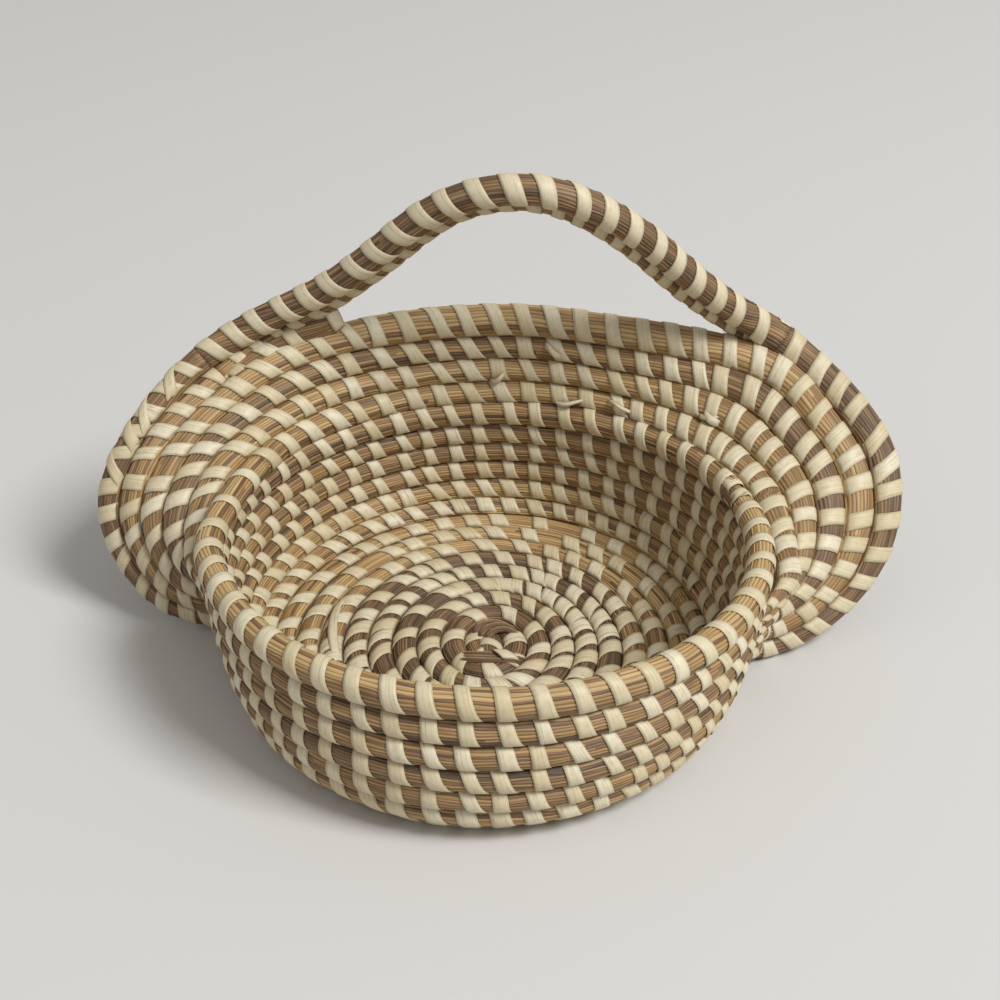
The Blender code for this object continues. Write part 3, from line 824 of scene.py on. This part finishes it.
EDGE_THICKNESS = (0.0048, 0.0056, 0.0056, 0.0049)
right_last = len(edge) - 1
# The left edge coil's tones hold painted shade on the left ear, which lies away from the light, over the stems' own
# brown
for name, first, end, strip, tone in (
    ("left_edge_coil", 0, left_end, "left_edge_strip", (0.8, 0.75, 0.7)),
    ("handle_coil", left_end, right_end, "handle_strip", (0.65, 0.65, 0.72)),
    ("right_edge_coil", right_end, right_last, "right_edge_strip", (0.76, 0.74, 0.72)),
):
    places = np.linspace(first, end, (end - first) * 24 + 1)
    thick = np.interp(places, [left_end - 1, left_end + 0.5, right_end - 0.5, right_end + 1], EDGE_THICKNESS)
    across = np.maximum(thick, np.interp(places, np.arange(len(edge)), edge_across))
    thinner = thinned(places, right_last)
    row = Row(smooth(edge, places), smooth(edge_away, places), across * thinner, thick * thinner)
    piece = bundle(name + "_bundle", row, tone, GRASS)
    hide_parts(name)
    if name == "handle_coil":
        piece = winding(name + "_strip", row, 0.002, row.length - 0.002, 0.0118, 0.0060)
    else:
        step = 0.0101 if first == 0 else 0.0113
        centres = spaced(row, places, step + 0 * thinner, end - 0.05 if first == 0 else first + 0.15)
        widths = np.interp(centres, row.run, thinner) * (0.0055 if first == 0 else 0.0059)
        piece = stitches(name + "_strips", row, centres, widths, 0.0044)
    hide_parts(strip)
    if name == "left_edge_coil":
        # Lashings that cross the stitches near the shoulder, so that the pairs look like a V
        centres = np.interp((5.55, 5.92, 6.28, 6.72), places, row.run)
        piece = stitches("left_edge_lashings", row, centres, 0.0056, -0.0095, lift=0.0005, flare=0.2)

inner_end = len(inner) - 0.7
# left_ear_row_4 is browner at its left end: painted shade on the left ear, over the stems' own amber and brown
for name, first, end, slot, tone in (
    ("left_ear_row_4", 0, left_end, "amber_grass", (0.65, 0.5, 0.35)),
    ("inner_handle_coil", left_end, inner_end, "dark_rush", (0.5, 0.55, 0.6)),
):
    places = np.linspace(first, end, round((end - first) * 24) + 1)
    thick = 0.0044 * np.interp(places, [0, 1.6, inner_end - 1.5, inner_end], [0.45, 1, 1, 0.5])
    across = np.maximum(thick, np.interp(places, np.arange(len(inner)), inner_across))
    row = Row(smooth(inner, places), smooth(inner_away, places), across, thick)
    piece = bundle(name + "_bundle", row, tone, GRASS)
    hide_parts(name)
    if first == 0:
        thinner = thinned(places, right_last)
        centres = spaced(row, places, 0.0103 + 0 * thinner, end - 0.1)
        piece = stitches(name + "_stitches", row, centres, np.interp(centres, row.run, thinner) * 0.0055, 0.0040)
    else:
        piece = winding(name + "_strip", row, 0.002, row.length - 0.002, 0.0092, 0.0052, phase=1.5)

# The fill at the left shoulder
# Spare stems that fill the wedge between the inner handle coil and the top row. Strips bind them
# to the top row, and one more binds their tip.

shares = np.linspace(0, 1, 61)
over = smooth(inner, 7.0 + 1.95 * shares)
under_row = smooth(station_row(3), 13.1 - 1.62 * shares)
gap = over - under_row
half_gap = np.linalg.norm(gap, axis=1) / 2
thinner = np.interp(shares, (0, 0.25, 0.8, 0.95, 1), (0.4, 1, 1, 0.85, 0.6))
row = Row((over + under_row) / 2, gap, np.clip(half_gap - 0.0022, 0.0015, 0.0075) * thinner, 0.0038 * thinner)
piece = bundle("left_shoulder_fill", row, (0.6, 0.65, 0.45), GRASS)
centres = row.length - np.array([0.047, 0.0345, 0.022])
piece = stitches("left_shoulder_stitches", row, centres, 0.0060, 0.0042, lift=0.0003)
piece = stitches("left_shoulder_strip", row, (row.length - 0.0026,), 0.0054, 0.0008, lift=0.0004)

# The floor, the light and the camera
# A plain pale floor under soft studio light, seen from the front and above.

shape = bmesh.new()
bmesh.ops.create_grid(shape, x_segments=1, y_segments=1, size=4)
mesh = bpy.data.meshes.new("floor")
shape.to_mesh(mesh)
shape.free()
floor = bpy.data.objects.new("floor", mesh)
bpy.context.scene.collection.objects.link(floor)
material, shader, add = new_material("pale_floor", 0.9)
shader.inputs["Base Color"].default_value = (0.62, 0.61, 0.59, 1)
mesh.materials.append(material)

world = bpy.data.worlds.new("soft_room")
world.use_nodes = True
world.node_tree.nodes["Background"].inputs[0].default_value = (1.0, 0.985, 0.96, 1)
world.node_tree.nodes["Background"].inputs[1].default_value = 0.41
bpy.context.scene.world = world
for name, place, size, power in (
    ("key_light", (2.25, -1.35, 3.3), 1.5, 156),
    ("fill_light", (-2.4, -2.1, 2.4), 2.7, 6),
):
    lamp = bpy.data.lights.new(name, "AREA")
    lamp.size = size
    lamp.energy = power
    holder = bpy.data.objects.new(name, lamp)
    bpy.context.scene.collection.objects.link(holder)
    holder.location = place
    x, y, z = place
    holder.rotation_euler = (math.atan2(math.hypot(x, y), z), 0, math.atan2(y, x) + math.pi / 2)

view = bpy.data.cameras.new("front_view")
view.lens = 62.44
camera = bpy.data.objects.new("front_view", view)
bpy.context.scene.collection.objects.link(camera)
camera.location = (0.00366, -0.5166, 0.3928)
camera.rotation_euler = (math.pi / 2 - 0.5607293, 0, 0)
bpy.context.scene.camera = camera
bpy.context.scene.view_settings.view_transform = "Standard"
